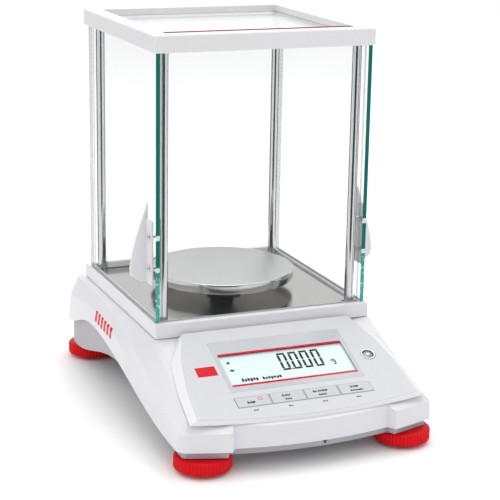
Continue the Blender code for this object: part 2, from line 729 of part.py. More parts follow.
def make_fixed_glass():
    """Front and rear panes, held in slots of the sill and of the top frame."""
    half = GLASS_THICK / 2
    for name, y in (("front_glass", FRONT_GLASS_Y), ("rear_glass", REAR_GLASS_Y)):
        block(name, (-PANE_HALF, y - half, SIDE_GLASS_BOTTOM), (PANE_HALF, y + half, GLASS_TOP_Z),
              clear_glass())


def make_rear_rail():
    """White rail along the foot of the rear pane."""
    block("rear_rail", (-76.0 * MM, 114.5 * MM, 85.3 * MM), (76.0 * MM, 119.5 * MM, 91.0 * MM),
          frame_white(), bevel=0.5 * MM)


def fin_outline(side):
    """A door handle's fin, in X and Z: straight against the glass, swelling outwards near its foot."""
    glass = SIDE_GLASS_X + GLASS_THICK / 2 + GAP
    low, high, reach = HANDLE_FOOT_Z, HANDLE_FIN_TOP_Z, 14.8 * MM
    rounded_foot = 0.86
    points = [(glass, low), (glass, high)]
    for step in range(1, 12):
        share = step / 12
        height = high - share * (high - low)
        if share < rounded_foot:
            swell = math.sin(share * math.pi / 2) ** 1.1
        else:
            swell = math.cos((share - rounded_foot) / (1.0 - rounded_foot) * 1.1)
        points.append((glass + reach * swell, height))
    points.append((glass + 5.5 * MM, low))
    return [(side * x, z) for x, z in points]


def make_side_doors():
    """Left and right sliding glass doors, each with a white fin handle and two screws."""
    half = GLASS_THICK / 2
    for word, side in (("left", -1), ("right", 1)):
        middle = side * SIDE_GLASS_X
        door = block(f"{word}_door_glass", (middle - half, SIDE_GLASS_FRONT, SIDE_GLASS_BOTTOM),
                     (middle + half, SIDE_GLASS_REAR, GLASS_TOP_Z), clear_glass())
        holes = []
        bm = bmesh.new()
        face = bm.faces.new([bm.verts.new((x, HANDLE_Y - FIN_THICK / 2, z)) for x, z in fin_outline(side)])
        raised = bmesh.ops.extrude_face_region(bm, geom=[face])
        moved = [item for item in raised["geom"] if isinstance(item, bmesh.types.BMVert)]
        bmesh.ops.translate(bm, verts=moved, vec=(0, FIN_THICK, 0))
        fin = add_mesh(f"{word}_door_fin", bm, frame_white())
        outer = side * (SIDE_GLASS_X + half + GAP)
        ends = sorted((outer, outer + side * 1.8 * MM))
        handle = block(f"{word}_door_handle", (ends[0], HANDLE_FRONT, HANDLE_FOOT_Z),
                       (ends[1], HANDLE_Y + 1.2 * MM, HANDLE_PLATE_TOP_Z), frame_white(), bevel=0.4 * MM)
        merge(handle, [fin])
        for level, height in SCREW_HEIGHTS.items():
            place = (outer, SCREW_Y, height)
            profile = [(0, -4.9 * MM), (3.0 * MM, -4.9 * MM), (3.0 * MM, -4.0 * MM), (1.2 * MM, -4.0 * MM),
                       (1.2 * MM, 2.3 * MM), (2.6 * MM, 2.3 * MM), (2.2 * MM, 3.3 * MM), (0, 3.3 * MM)]
            screw = turned(f"{word}_door_screw_{level}", profile, polished_steel(), place, sides=16)
            screw.rotation_euler = (0, side * math.pi / 2, 0)
            hole = prism(f"{word}_hole_{level}", circle(1.6 * MM, (0, 0), 16), -15 * MM, 15 * MM,
                         frame_white(), place)
            hole.rotation_euler = (0, side * math.pi / 2, 0)
            holes.append(hole)
        cut(handle, holes)
        cut(door, holes)


def make_top_door():
    """Sliding glass lid with its red grip strip along the front edge."""
    front = FRAME_FRONT + RAIL_WIDTH + 0.2 * MM
    block("top_door_glass", (-TOP_GLASS_HALF, front, TOP_GLASS_Z),
          (TOP_GLASS_HALF, FRAME_REAR - 1.0 * MM, TOP_GLASS_Z + GLASS_THICK), clear_glass())
    block("top_door_grip", (-78.0 * MM, front, TOP_GLASS_Z + GLASS_THICK + GAP),
          (78.0 * MM, front + 4.5 * MM, TOP_Z - 1.5 * MM), foot_red(), bevel=0.4 * MM)


def make_pan():
    """Steel pan with a turned-down rim, and the black carrier that it rests on."""
    under = PAN_TOP_Z - PAN_SHEET
    low = PAN_TOP_Z - PAN_RIM
    profile = [(0, PAN_TOP_Z), (PAN_RADIUS - 1.2 * MM, PAN_TOP_Z), (PAN_RADIUS, PAN_TOP_Z - 1.2 * MM),
               (PAN_RADIUS, low), (PAN_RADIUS - PAN_SHEET, low), (PAN_RADIUS - PAN_SHEET, under), (0, under)]
    turned("weighing_pan", profile, polished_steel(), (0, PAN_Y, 0), sides=72)
    top = under - GAP
    profile = [(0, LOAD_CELL_TOP_Z + GAP), (5.0 * MM, LOAD_CELL_TOP_Z + GAP), (5.0 * MM, CARRIER_Z),
               (CARRIER_RADIUS + 3 * MM, CARRIER_Z), (CARRIER_RADIUS + 3 * MM, CARRIER_Z + 7.0 * MM),
               (CARRIER_RADIUS, CARRIER_Z + 8.0 * MM), (CARRIER_RADIUS, top), (0, top)]
    carrier = turned("pan_carrier", profile, black_plastic(), (0, PAN_Y, 0), sides=32)
    ears = []
    for index in range(4):
        angle = math.radians(45 + 90 * index)
        ear = prism(f"carrier_ear_{index}", circle(5.0 * MM, (12.0 * MM * math.cos(angle),
                                                              12.0 * MM * math.sin(angle)), 16),
                    CARRIER_Z + 0.5 * MM, CARRIER_Z + 6.0 * MM, black_plastic(), (0, PAN_Y, 0))
        ears.append(ear)
    merge(carrier, ears)


# ---- Levelling feet ----

def make_feet():
    """Four screw feet: a red wheel on a steel stud, standing on a rubber pad."""
    places = {"front_left": (-FOOT_X, -FOOT_Y), "front_right": (FOOT_X, -FOOT_Y),
              "rear_left": (-FOOT_X, FOOT_Y), "rear_right": (FOOT_X, FOOT_Y)}
    sleeve = STUD_RADIUS + GAP
    for word, (x, y) in places.items():
        turned(f"foot_pad_{word}", [(0, 0), (PAD_RADIUS, 0), (PAD_RADIUS, PAD_TOP_Z), (0, PAD_TOP_Z)],
               black_plastic(), (x, y, 0), sides=32)
        turned(f"foot_stud_{word}", [(0, PAD_TOP_Z + GAP), (STUD_HEAD_RADIUS, PAD_TOP_Z + GAP),
                                     (STUD_HEAD_RADIUS, 4.5 * MM), (STUD_RADIUS, 4.5 * MM),
                                     (STUD_RADIUS, STUD_TOP_Z), (0, STUD_TOP_Z)],
               polished_steel(), (x, y, 0), sides=24)
        wheel = [(sleeve, WHEEL_TOP_Z), (WHEEL_RADIUS - 1.2 * MM, WHEEL_TOP_Z),
                 (WHEEL_RADIUS, WHEEL_TOP_Z - 1.2 * MM), (WHEEL_RADIUS, WHEEL_BOTTOM_Z + 1.0 * MM),
                 (WHEEL_RADIUS - 1.0 * MM, WHEEL_BOTTOM_Z), (STUD_HEAD_RADIUS + GAP, WHEEL_BOTTOM_Z),
                 (STUD_HEAD_RADIUS + GAP, 4.5 * MM + GAP), (sleeve, 4.5 * MM + GAP), (sleeve, WHEEL_TOP_Z)]
        make_wheel(f"foot_wheel_{word}", wheel, (x, y, 0))


def make_wheel(name, profile, place):
    """A turned ring: the profile's first and last points are the same, so the loop closes."""
    sides = 48
    bm = bmesh.new()
    rings = []
    for radius, height in profile[:-1]:
        angles = [2 * math.pi * step / sides for step in range(sides)]
        rings.append([bm.verts.new((radius * math.cos(a), radius * math.sin(a), height)) for a in angles])
    for index, lower in enumerate(rings):
        join_rings(bm, lower, rings[(index + 1) % len(rings)])
    add_mesh(name, bm, foot_red(), place, smooth=True)


def main():
    clear_scene()
    panel = bpy.data.objects.new("panel_plane", None)
    panel.location = PANEL_TOP
    panel.rotation_euler = (PANEL_SLOPE, 0, 0)
    bpy.context.scene.collection.objects.link(panel)
    make_base_casting()
    make_top_housing()
    make_inside()
    make_ports()
    make_control_panel()
    make_display()
    make_level()
    make_keys()
    make_shield_base()
    make_floor_plate()
    make_posts()
    make_top_frame()
    make_fixed_glass()
    make_rear_rail()
    make_side_doors()
    make_top_door()
    make_pan()
    make_feet()


main()
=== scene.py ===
import math

import bmesh
import bpy
from mathutils import Matrix, Vector


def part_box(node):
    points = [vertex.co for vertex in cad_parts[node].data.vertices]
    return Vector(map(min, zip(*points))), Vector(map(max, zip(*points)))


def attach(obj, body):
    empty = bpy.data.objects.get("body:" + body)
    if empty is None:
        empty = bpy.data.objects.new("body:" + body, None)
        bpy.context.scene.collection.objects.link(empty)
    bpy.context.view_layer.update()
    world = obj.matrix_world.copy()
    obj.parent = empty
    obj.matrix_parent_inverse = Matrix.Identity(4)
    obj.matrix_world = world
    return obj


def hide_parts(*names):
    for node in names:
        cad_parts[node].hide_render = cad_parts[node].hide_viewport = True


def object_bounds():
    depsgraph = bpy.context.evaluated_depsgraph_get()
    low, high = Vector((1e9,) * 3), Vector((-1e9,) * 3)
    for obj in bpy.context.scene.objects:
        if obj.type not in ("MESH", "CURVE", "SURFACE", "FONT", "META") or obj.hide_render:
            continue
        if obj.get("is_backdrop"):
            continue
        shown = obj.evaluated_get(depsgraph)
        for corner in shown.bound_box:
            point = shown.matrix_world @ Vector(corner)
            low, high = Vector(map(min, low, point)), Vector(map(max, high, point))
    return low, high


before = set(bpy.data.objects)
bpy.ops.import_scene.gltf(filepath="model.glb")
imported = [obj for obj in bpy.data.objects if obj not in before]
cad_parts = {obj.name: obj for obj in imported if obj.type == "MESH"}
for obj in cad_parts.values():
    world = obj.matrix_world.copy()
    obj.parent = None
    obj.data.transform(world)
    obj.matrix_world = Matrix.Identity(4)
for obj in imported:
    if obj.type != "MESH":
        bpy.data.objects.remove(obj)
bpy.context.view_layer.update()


# ---- Base casting ----
# The tray that carries the balance is one arched aluminium casting with a boss for each foot. It
# is painted light grey, and only its lower rim shows under the plastic housing. A small black
# arrow is printed on its front edge.

MM = 0.001


class Value:
    """A shader node's output, so that sums on it read as sums."""

    def __init__(self, finish, socket):
        self.finish = finish
        self.socket = socket

    def math(self, operation, *values):
        return self.finish.math(operation, self, *values)

    def __add__(self, other):
        return self.math("ADD", other)

    def __sub__(self, other):
        return self.math("SUBTRACT", other)

    def __rsub__(self, other):
        return self.finish.math("SUBTRACT", other, self)

    def __mul__(self, other):
        return self.math("MULTIPLY", other)

    __radd__ = __add__
    __rmul__ = __mul__

    def over(self, edge):
        return self.math("GREATER_THAN", edge)

    def under(self, edge):
        return self.math("LESS_THAN", edge)

    def between(self, low, high):
        return self.over(low) * self.under(high)


class Finish:
    """A material, with its nodes added round the Principled shader."""

    def __init__(self, name, sockets):
        self.material = bpy.data.materials.new(name)
        self.material.use_nodes = True
        self.tree = self.material.node_tree
        self.shader = self.tree.nodes["Principled BSDF"]
        self.set(sockets)

    def set(self, sockets):
        for name, value in sockets.items():
            self.join(self.shader.inputs[name], value)

    def join(self, socket, value):
        if isinstance(value, Value):
            self.tree.links.new(value.socket, socket)
        elif socket.type == "RGBA":
            socket.default_value = (*value, 1.0)
        else:
            socket.default_value = value

    def node(self, kind, settings, sockets, output=0):
        made = self.tree.nodes.new(kind)
        for name, value in settings.items():
            setattr(made, name, value)
        for name, value in sockets.items():
            self.join(made.inputs[name], value)
        return Value(self, made.outputs[output])

    def math(self, operation, *values):
        return self.node("ShaderNodeMath", {"operation": operation}, dict(enumerate(values)))

    def colour(self):
        """What feeds the base colour so far."""
        return Value(self, self.shader.inputs["Base Color"].links[0].from_socket)

    def places(self):
        return self.node("ShaderNodeTexCoord", {}, {}, "Object")

    def axes(self, place):
        return [self.node("ShaderNodeSeparateXYZ", {}, {0: place}, axis) for axis in "XYZ"]

    def mix(self, share, first, second):
        """From the first colour to the second, by a share between 0 and 1."""
        return self.node("ShaderNodeMix", {"data_type": "RGBA"}, {0: share, 6: first, 7: second}, 2)

    def stretched(self, scale):
        """Places pulled out by a factor for each axis, for grain that runs one way."""
        return self.node("ShaderNodeMapping", {}, {"Vector": self.places(), "Scale": scale})

    def noise(self, scale, detail=3.0, place=None):
        return self.node("ShaderNodeTexNoise", {}, {"Vector": place or self.places(),
                                                    "Scale": scale, "Detail": detail})

    def bump(self, height, strength, distance):
        bumped = self.node("ShaderNodeBump", {}, {"Height": height, "Strength": strength,
                                                  "Distance": distance})
        self.set({"Normal": bumped})


def moulded(name, colour, roughness, grain=900.0, depth=0.12, coat=0.0, index=1.47):
    """Plastic or paint: slightly uneven colour and gloss, with a fine orange-peel skin."""
    finish = Finish(name, {"Coat Weight": coat, "Coat Roughness": 0.12, "IOR": index})
    darker = tuple(channel * 0.965 for channel in colour)
    gloss_spread = 0.12
    finish.set({"Base Color": finish.mix(finish.noise(38.0), darker, colour),
                "Roughness": finish.noise(160.0) * gloss_spread + (roughness - gloss_spread / 2)})
    finish.bump(finish.noise(grain, 4.0), depth, 0.2 * MM)
    return finish


def only(piece):
    """Selects one piece and nothing else, and makes it the active one."""
    bpy.ops.object.select_all(action="DESELECT")
    piece.select_set(True)
    bpy.context.view_layer.objects.active = piece


def edit(piece, select="SELECT"):
    """Opens a piece in edit mode with all of it selected, or none, and gives its edit mesh."""
    only(piece)
    bpy.ops.object.mode_set(mode="EDIT")
    bpy.ops.mesh.select_all(action=select)
    return bmesh.from_edit_mesh(piece.data)


def close(piece):
    """Leaves edit mode with the changes kept."""
    bmesh.update_edit_mesh(piece.data)
    bpy.ops.object.mode_set(mode="OBJECT")


def copied(node, name, flat=0.6):
    """A new piece from a CAD node's mesh, merged, with its flat faces made whole again."""
    piece = bpy.data.objects.new(name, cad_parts[node].data.copy())
    piece.data.materials.clear()
    bpy.context.scene.collection.objects.link(piece)
    only(piece)
    bpy.ops.mesh.customdata_custom_splitnormals_clear()
    edit(piece)
    bpy.ops.mesh.remove_doubles(threshold=0.01 * MM)
    if flat:
        bpy.ops.mesh.dissolve_limited(angle_limit=math.radians(flat))
    close(piece)
    return piece


def applied(piece, kind, **settings):
    """Adds a modifier to a piece and applies it."""
    only(piece)
    step = piece.modifiers.new(kind.title(), kind)
    for name, value in settings.items():
        setattr(step, name, value)
    bpy.ops.object.modifier_apply(modifier=step.name)


def rounded(piece, width, steps=3, angle=32.0):
    """Rounds a piece's hard edges, and shades its faces flat and its rounds smooth."""
    applied(piece, "BEVEL", width=width, segments=steps, limit_method="ANGLE",
            angle_limit=math.radians(angle), use_clamp_overlap=True)
    only(piece)
    bpy.ops.object.shade_smooth_by_angle(angle=math.radians(angle))
    applied(piece, "WEIGHTED_NORMAL", keep_sharp=True)
    return piece


def curved(node, name, ridge, hard, levels=2):
    """A copy of a coarse curved CAD skin, made smooth along its sweep. Edges that run along the
    sweep and turn more than ridge degrees stay crisp, and so do all that turn more than hard."""
    piece = copied(node, name, flat=0.0)
    edit(piece)
    bpy.ops.mesh.tris_convert_to_quads(face_threshold=math.radians(40),
                                       shape_threshold=math.radians(150))
    mesh = bmesh.from_edit_mesh(piece.data)
    layers = mesh.edges.layers.float
    crease = layers.get("crease_edge") or layers.new("crease_edge")
    end_wall = 128 * MM
    for edge in mesh.edges:
        turn = math.degrees(edge.calc_face_angle(0.0))
        line = edge.verts[1].co - edge.verts[0].co
        sweep = abs(line.x) if abs(edge.verts[0].co.y) > end_wall else abs(line.y)
        if turn > hard or (turn > ridge and sweep > 0.6 * line.length):
            edge[crease] = 1.0
    close(piece)
    applied(piece, "SUBSURF", levels=levels, render_levels=levels)
    return piece


def placed(piece, body, slot, finish, *nodes):
    """Gives a piece its finish and its body, and hides the CAD nodes that it stands for."""
    if not piece.data.materials:
        piece.data.materials.append(finish.material)
    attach(piece, body)
    if nodes:
        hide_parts(*nodes)
    return piece


arrow_middle, arrow_tip, arrow_top, arrow_flare = 9.0 * MM, 13.4 * MM, 17.2 * MM, 0.62
front_face = -120 * MM
arrow_black = (0.03, 0.03, 0.035)
casting_paint = moulded("casting_paint", (0.43, 0.42, 0.45), 0.5, grain=900.0, depth=0.15)
across, along, height = casting_paint.axes(casting_paint.places())
off_middle = (across - arrow_middle).math("ABSOLUTE")
arrow = ((height - arrow_tip) * arrow_flare - off_middle).over(0.0) * height.under(arrow_top)
arrow = arrow * along.under(front_face)
casting_paint.set({"Base Color": casting_paint.mix(arrow, casting_paint.colour(), arrow_black)})
casting = rounded(curved("base_casting", "casting_tray", 12.0, 24.0, levels=1), 0.4 * MM, 2, 14.0)
placed(casting, "base", "casting_grey", casting_paint, "base_casting")


# ---- Top housing ----
# One injection-moulded shell in satin white: arched flanks, two legs in front, and a sloping nose.
# A row of plain red blocks is pad printed on its left flank.

print_red = (0.66, 0.002, 0.016)
mark_front, mark_rear, mark_foot, mark_top = 18.0 * MM, 64.2 * MM, 54.5 * MM, 63.5 * MM
mark_pitch, mark_share, mark_slant = 8.0 * MM, 0.66, 0.05
left_flank = -90 * MM
housing_white = moulded("housing_white", (0.755, 0.755, 0.785), 0.38, grain=2500.0, depth=0.02,
                        coat=0.08, index=1.35)
across, along, height = housing_white.axes(housing_white.places())
mark_level = height - (along - 42.0 * MM) * mark_slant
mark_step = ((along - mark_front) * (1.0 / mark_pitch)).math("FRACT")
flank_mark = (mark_level.between(mark_foot, mark_top) * along.between(mark_front, mark_rear)
              * mark_step.under(mark_share) * across.under(left_flank))
housing_white.set({"Base Color": housing_white.mix(flank_mark, housing_white.colour(), print_red)})
housing = rounded(curved("top_housing", "housing_shell", 12.0, 18.0, levels=2), 0.55 * MM, 3, 11.0)
placed(housing, "base", "housing_white", housing_white, "top_housing")


# ---- Boards and weighing cell ----
# Inside the housing: a milled aluminium weighing cell on its plate, and two green circuit boards.
# They are screwed down to the casting and can't be seen from outside.

cell_metal = Finish("cell_aluminium", {"Metallic": 1.0, "Base Color": (0.62, 0.62, 0.64)})
milling = cell_metal.node("ShaderNodeTexWave", {"bands_direction": "Y"},
                          {"Vector": cell_metal.places(), "Scale": 260.0, "Distortion": 1.5})
cell_metal.set({"Roughness": milling * 0.15 + 0.28})
board_lacquer = moulded("board_lacquer", (0.02, 0.19, 0.08), 0.4, grain=500.0)
for node in ("load_cell", "load_cell_mount"):
    cell_part = rounded(copied(node, f"inner_{node}"), 0.3 * MM)
    placed(cell_part, "base", "cell_aluminium", cell_metal, node)
for node in ("main_board", "display_board"):
    board = rounded(copied(node, f"inner_{node}"), 0.15 * MM)
    placed(board, "base", "board_green", board_lacquer, node)


# ---- Rear sockets ----
# Black moulded sockets stand on the main board and look out through the housing's rear wall. The
# power inlet has a centre pin, the serial socket nine pins and the data socket a flat tongue.

socket_black = moulded("socket_black", (0.018, 0.018, 0.02), 0.42, grain=1200.0)
contact_gold = Finish("contact_gold", {"Metallic": 1.0, "Base Color": (0.83, 0.61, 0.26)})
contact_gold.set({"Roughness": contact_gold.noise(900.0) * 0.15 + 0.18})


def pin(name, radius, length, place):
    """A round contact pin with a rounded tip, pointing to the rear."""
    bpy.ops.object.select_all(action="DESELECT")
    bpy.ops.mesh.primitive_cylinder_add(vertices=20, radius=radius, depth=length, location=place,
                                        rotation=(math.radians(90), 0, 0))
    made = bpy.context.object
    made.name = name
    bpy.ops.object.transform_apply(location=True, rotation=True, scale=True)
    return rounded(made, radius * 0.5, 3)


def joined(name, parts):
    """Several small parts made one piece."""
    bpy.ops.object.select_all(action="DESELECT")
    for part in parts:
        part.select_set(True)
    bpy.context.view_layer.objects.active = parts[0]
    bpy.ops.object.join()
    parts[0].name = name
    return parts[0]


for node in ("dc_inlet", "serial_port", "usb_port"):
    socket_body = rounded(copied(node, f"{node}_body"), 0.35 * MM)
    placed(socket_body, "base", "port_black", socket_black, node)
low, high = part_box("dc_inlet")
place = ((low.x + high.x) / 2, 153.5 * MM, (low.z + high.z) / 2)
placed(pin("dc_inlet_pin", 0.9 * MM, 7.0 * MM, place), "base", "port_black", contact_gold)
low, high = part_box("serial_port")
middle = (low.z + high.z) / 2
pin_pitch, row_offset = 2.77 * MM, 1.4 * MM
serial_pins = []
for row, count in ((row_offset, 5), (-row_offset, 4)):
    for step in range(count):
        place = ((step - (count - 1) / 2) * pin_pitch, 153.0 * MM, middle + row)
        serial_pins.append(pin(f"serial_pin_{count}_{step}", 0.5 * MM, 6.0 * MM, place))
placed(joined("serial_port_pins", serial_pins), "base", "port_black", contact_gold)
low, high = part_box("usb_port")
bpy.ops.object.select_all(action="DESELECT")
bpy.ops.mesh.primitive_cube_add(size=1.0, location=((low.x + high.x) / 2, 153.5 * MM,
                                                    (low.z + high.z) / 2))
tongue = bpy.context.object
tongue.name = "usb_port_tongue"
tongue.scale = (5.6 * MM, 7.0 * MM, 3.2 * MM)
bpy.ops.object.transform_apply(location=True, rotation=True, scale=True)
placed(rounded(tongue, 0.5 * MM), "base", "port_black", socket_black)


# ---- Control panel ----
# A raised block lies on the nose's slope: its sides are the housing's white and its face is a
# pale grey membrane, glued on, with a plain red tile printed left of the display.

slope = math.atan(0.4237)
panel_place = Matrix.Translation((0.0, -60.0 * MM, 79.75 * MM)) @ Matrix.Rotation(slope, 4, "X")


def panel_axes(finish):
    """Coordinates on the panel's face: right, up the slope, and out of it."""
    turned_place = finish.node("ShaderNodeMapping", {"vector_type": "TEXTURE"},
                               {"Vector": finish.places(), "Location": panel_place.translation,
                                "Rotation": (slope, 0.0, 0.0)})
    return finish.axes(turned_place)


panel_grey = moulded("panel_membrane", (0.80, 0.80, 0.825), 0.45, grain=2600.0, depth=0.03,
                     index=1.25)
across, up, out = panel_axes(panel_grey)
face = out.over(-0.35 * MM)
tile = across.between(-74.5 * MM, -58.5 * MM) * up.between(-51.5 * MM, -41.0 * MM)
membrane = panel_grey.mix(panel_grey.noise(60.0), (0.63, 0.635, 0.66), (0.65, 0.655, 0.68))
printed_face = panel_grey.mix(tile, membrane, print_red)
panel_grey.set({"Base Color": panel_grey.mix(face, panel_grey.colour(), printed_face)})
panel = copied("control_panel", "panel_block")
panel.data.transform(panel_place.inverted())
mesh = edit(panel)
bevel_top, bevel_start, bevel_run = -8.0, 60.0, 20.0
for corner in mesh.verts:
    right_mm, up_mm, out_mm = corner.co / MM
    if out_mm < -1.5 and abs(right_mm) > bevel_start and up_mm < bevel_top:
        side_reach = 5.0 if out_mm < -4.0 else 3.4
        share = min(1.0, (bevel_top - up_mm) / bevel_run)
        corner.co.x += math.copysign(side_reach * MM, right_mm) * share
close(panel)
panel.data.transform(panel_place)
rounded(panel, 0.18 * MM, 2, 20.0)
placed(panel, "base", "panel_grey", panel_grey, "control_panel")


# ---- Printed marks ----
# Marks are silk-screened ink, a few hundredths of a millimetre thick. Plain dashes and shapes stand
# under the keys, on the keys and in the display's lower line.

ink_black = moulded("ink_black", (0.006, 0.006, 0.008), 0.6, grain=3000.0, index=1.2)
ink_red = moulded("ink_red", (0.75, 0.05, 0.10), 0.45, grain=3000.0)


def printed(name, outlines, level, thick=0.04 * MM):
    """Flat shapes on the panel's slope; outlines are in millimetres, right and down the slope."""
    mesh = bpy.data.meshes.new(name)
    points, faces = [], []
    for outline in outlines:
        faces.append(range(len(points), len(points) + len(outline)))
        points += [(x * MM, -down * MM, level) for x, down in outline]
    mesh.from_pydata(points, [], faces)
    mesh.transform(panel_place)
    piece = bpy.data.objects.new(name, mesh)
    bpy.context.scene.collection.objects.link(piece)
    edit(piece)
    bpy.ops.mesh.normals_make_consistent(inside=False)
    close(piece)
    if mesh.polygons[0].normal.z < 0.0:
        mesh.flip_normals()
    applied(piece, "SOLIDIFY", thickness=thick, offset=1.0)
    return piece


def dash(x, down, width, tall):
    """A short bar with clipped corners."""
    w, t, c = width / 2, tall / 2, min(width, tall) * 0.3
    corners = [(-w + c, -t), (w - c, -t), (w, -t + c), (w, t - c),
               (w - c, t), (-w + c, t), (-w, t - c), (-w, -t + c)]
    return [(x + right, down + below) for right, below in corners]


def ring(x, down, radius, thick, start=0.0, sweep=360.0, steps=28):
    """An arc of even thickness, as a row of four-sided shapes."""
    shapes = []
    for step in range(steps):
        angles = [math.radians(start + sweep * (step + end) / steps) for end in (0, 1)]
        shapes.append([(x + r * math.sin(a), down - r * math.cos(a))
                       for r, a in ((radius, angles[0]), (radius, angles[1]),
                                    (radius - thick, angles[1]), (radius - thick, angles[0]))])
    return shapes


def blocks(x, down, width, tall, pitch=1.35):
    """A row of small upright blocks, one high and one low in turn, where a word would stand."""
    count = max(2, round(width / pitch))
    heights = (1.0, 0.76, 0.88)
    return [dash(x + (step - (count - 1) / 2) * pitch, down + 0.12 * tall * (step % 2), pitch * 0.8,
                 tall * heights[step % 3]) for step in range(count)]


key_middles = (-42.15, -14.05, 14.05, 42.15)
under_marks = []
for x in key_middles:
    under_marks += blocks(x - 0.9, 92.6, 4.2, 1.5)
placed(printed("panel_marks", under_marks, 0.0), "base", "panel_grey", ink_black)


# ---- Display ----
# A clear window with a grey and red print behind it lies flush in the panel, over a pale liquid
# crystal display whose black segments show the reading.

window_print = Finish("window_print", {"IOR": 1.25})
across, up, out = panel_axes(window_print)
width_of_view = across.between(-52.0 * MM, 52.0 * MM)
opening = width_of_view * up.between(-64.0 * MM, -31.0 * MM)
bars = width_of_view * (up.between(-31.2 * MM, -29.0 * MM) + up.between(-66.1 * MM, -63.9 * MM))
grey_print = window_print.mix(window_print.noise(80.0), (0.52, 0.535, 0.56), (0.54, 0.555, 0.58))
bar_red = (0.55, 0.003, 0.03)
window_print.set({"Base Color": window_print.mix(bars, grey_print, bar_red),
                  "Roughness": window_print.noise(220.0) * 0.06 + 0.13,
                  "Alpha": 1.0 - opening * 0.96})
window = copied("display_window", "window_pane")
window.data.transform(panel_place.inverted())
edit(window)
bpy.ops.transform.resize(value=(1.0046, 1.0088, 1.0), center_override=(0.0, -43.5 * MM, 0.0))
close(window)
window.data.transform(panel_place)
rounded(window, 0.05 * MM, 1)
placed(window, "base", "window_clear", window_print, "display_window")

# The faint emission is painted light: a glow that brightens the pale cells.
lcd_face = Finish("lcd_face", {"IOR": 1.35, "Emission Strength": 0.16})
cell_grid = lcd_face.noise(3200.0, 1.0)
lcd_tint = lcd_face.mix(cell_grid, (0.70, 0.83, 0.83), (0.74, 0.87, 0.86))
lcd_face.set({"Base Color": lcd_tint, "Emission Color": lcd_tint,
              "Roughness": lcd_face.noise(400.0) * 0.1 + 0.25})
placed(rounded(copied("lcd_module", "lcd_cell"), 0.2 * MM, 2), "base", "lcd_pale", lcd_face,
       "lcd_module")

digit_line, digit_wide, digit_tall, stroke, lean = 43.4, 7.2, 19.4, 2.05, 0.02


def segment(x, down, wide, tall):
    """One bar of a seven-segment digit, with its corners cut and a slight lean."""
    return [(across_bar - lean * (down_bar - digit_line), down_bar)
            for across_bar, down_bar in dash(x, down, wide, tall)]


def zero(x, down):
    """The digit 0: six bars round an empty middle."""
    side, end = (digit_wide - stroke) / 2, (digit_tall - stroke) / 2
    upright = digit_tall / 2 - stroke - 0.35
    digit = [segment(x, down + far, digit_wide - 0.3, stroke) for far in (-end, end)]
    for hand in (-side, side):
        for half in (-1, 1):
            digit.append(segment(x + hand, down + half * (upright / 2 + 0.25), stroke, upright))
    return digit


reading = []
for x in (-1.5, 7.9, 17.2, 26.6):
    reading += zero(x, digit_line)
decimal_point = dash(3.2, 52.2, 1.6, 1.6)
unit_mark = (ring(38.2, 48.6, 1.7, 0.95) + [dash(39.5, 50.4, 0.95, 4.8)]
             + ring(38.2, 51.4, 1.75, 0.9, 90.0, 130.0, 10))
side_icons = ([dash(-45.7, 38.0, 2.6, 2.6), dash(-45.4, 46.6, 4.4, 0.9)]
              + ring(-45.4, 46.6, 1.3, 0.7, steps=16))
lower_line = blocks(-35.0, 58.2, 13.0, 3.9, 2.3) + blocks(-17.0, 58.6, 16.0, 3.3, 2.3)
reading += [decimal_point] + unit_mark + side_icons + lower_line
lcd_top = -1.7 * MM
placed(printed("lcd_segments", reading, lcd_top + 0.02 * MM, 0.03 * MM), "base", "lcd_pale",
       ink_black)


# ---- Bubble level ----
# A turned metal cup let into the panel holds a domed glass with pale liquid and one bubble.
# The user turns the feet until the bubble stands in the ring.

def lathe(name, profile, steps=96, place=(0.0, 0.0, 0.0)):
    """A turned piece: radius and height pairs spun round a vertical line through place."""
    mesh = bpy.data.meshes.new(name)
    points = [(place[0] + radius, place[1], place[2] + level) for radius, level in profile]
    mesh.from_pydata(points, [(index, index + 1) for index in range(len(points) - 1)], [])
    piece = bpy.data.objects.new(name, mesh)
    bpy.context.scene.collection.objects.link(piece)
    edit(piece)
    bpy.ops.mesh.spin(steps=steps, angle=2 * math.pi, center=(place[0], place[1], 0.0),
                      axis=(0, 0, 1))
    bpy.ops.mesh.select_all(action="SELECT")
    bpy.ops.mesh.remove_doubles(threshold=0.005 * MM)
    bpy.ops.mesh.normals_make_consistent(inside=False)
    close(piece)
    return piece


def in_mm(*profile):
    """A profile given in millimetres, in metres."""
    return [(radius * MM, level * MM) for radius, level in profile]


level_metal = Finish("level_metal", {"Metallic": 0.9, "Base Color": (0.60, 0.60, 0.61)})
level_metal.set({"Roughness": level_metal.noise(700.0) * 0.2 + 0.3})
level_glass = Finish("level_glass", {"IOR": 1.5, "Coat Weight": 1.0, "Coat Roughness": 0.03})
level_place = panel_place @ Matrix.Translation((68.3 * MM, -48.3 * MM, 0.0))
cup = lathe("level_cup_turned", in_mm((0, -9), (5.8, -9), (5.8, 0.4), (4.7, 0.4), (4.3, -3.9),
                                      (0, -3.9)), 64)
dome = lathe("level_dome", in_mm((0, -3.7), (4.1, -3.7), (4.2, -0.9), (3.6, -0.35), (2.6, -0.05),
                                 (1.4, 0.18), (0, 0.26)), 64)
centred = level_glass.node("ShaderNodeMapping", {"vector_type": "TEXTURE"},
                           {"Vector": level_glass.places(), "Location": level_place.translation,
                            "Rotation": (slope, 0.0, 0.0)})
away = level_glass.node("ShaderNodeVectorMath", {"operation": "LENGTH"}, {0: centred}, "Value")
bubble_middle, bubble_radius = (0.4 * MM, 0.5 * MM, 0.0), 1.5 * MM
bubble_off = level_glass.node("ShaderNodeVectorMath", {"operation": "DISTANCE"},
                              {0: centred, 1: bubble_middle}, "Value")
inked_ring = away.between(2.1 * MM, 2.4 * MM)
liquid = level_glass.mix(inked_ring, (0.30, 0.33, 0.32), (0.02, 0.02, 0.02))
